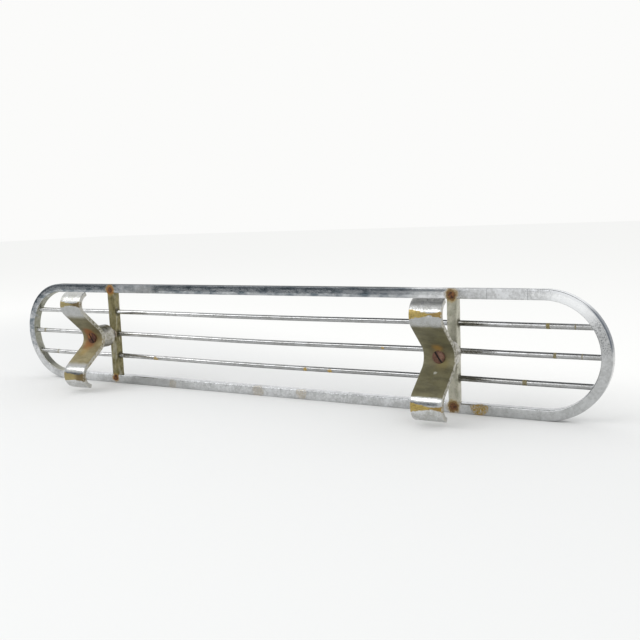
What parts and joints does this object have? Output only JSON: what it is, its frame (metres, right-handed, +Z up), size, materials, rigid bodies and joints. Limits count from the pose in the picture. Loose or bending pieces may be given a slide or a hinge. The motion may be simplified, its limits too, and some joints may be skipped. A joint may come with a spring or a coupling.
{
  "type": "front grille guard",
  "caption": "Chromed front grille guard: a long rounded rim of square bar with round rods and two crossbars, each carrying a bent hook clamp on a slotted screw.",
  "frame": {"origin": "middle of the guard's box, at the level of the rim's underside", "axes": "+X along the guard's length, +Y from the show side to the clamps, +Z up with the guard standing on its lower long side"},
  "size_m": [0.85, 0.0902, 0.14],
  "materials": {
    "chrome": "worn chrome plate, lightly pitted, with brown tarnish in patches",
    "rod_chrome": "bright chrome plate with a few narrow rust bands",
    "dull_plate": "dull olive-grey plate, pitted and stained",
    "clamp_plate": "bright at the crests, dull olive-grey in the valley, yellow-brown tarnish and rust around the screw",
    "rusty_steel": "rough red-brown rust",
    "washer_steel": "plain dull steel"
  },
  "bodies": {
    "guard": {"rim": "chrome", "rod_upper": "rod_chrome", "rod_middle": "rod_chrome", "rod_lower": "rod_chrome", "crossbar_left": "dull_plate", "crossbar_right": "dull_plate", "tenon_pin_upper_left": "rusty_steel", "tenon_pin_lower_left": "rusty_steel", "tenon_pin_upper_right": "rusty_steel", "tenon_pin_lower_right": "rusty_steel", "boss_left": "dull_plate", "boss_right": "dull_plate"},
    "washer_left": {"washer_left": "washer_steel"},
    "clamp_left": {"clamp_left": "clamp_plate"},
    "screw_left": {"screw_left": "rusty_steel"},
    "washer_right": {"washer_right": "washer_steel"},
    "clamp_right": {"clamp_right": "clamp_plate"},
    "screw_right": {"screw_right": "rusty_steel"}
  },
  "joints": [
    {"name": "clamp_travel_left", "type": "slide", "parent": "guard", "child": "washer_left", "axis": [0, 1, 0], "range_m": [0, 0.01524]},
    {"name": "clamp_swivel_left", "type": "hinge", "parent": "washer_left", "child": "clamp_left", "pos_m": [-0.254, 0, 0.07], "axis": [0, 1, 0], "continuous": true},
    {"name": "screw_turn_left", "type": "hinge", "parent": "washer_left", "child": "screw_left", "pos_m": [-0.254, 0, 0.07], "axis": [0, 1, 0], "range_deg": [0, 4320]},
    {"name": "clamp_travel_right", "type": "slide", "parent": "guard", "child": "washer_right", "axis": [0, 1, 0], "range_m": [0, 0.01524]},
    {"name": "clamp_swivel_right", "type": "hinge", "parent": "washer_right", "child": "clamp_right", "pos_m": [0.254, 0, 0.07], "axis": [0, 1, 0], "continuous": true},
    {"name": "screw_turn_right", "type": "hinge", "parent": "washer_right", "child": "screw_right", "pos_m": [0.254, 0, 0.07], "axis": [0, 1, 0], "range_deg": [0, 4320]}
  ],
  "couplings": [
    {"joint": "screw_turn_left", "follows": "clamp_travel_left", "rad_per_m": 4947.4},
    {"joint": "screw_turn_right", "follows": "clamp_travel_right", "rad_per_m": 4947.4}
  ]
}
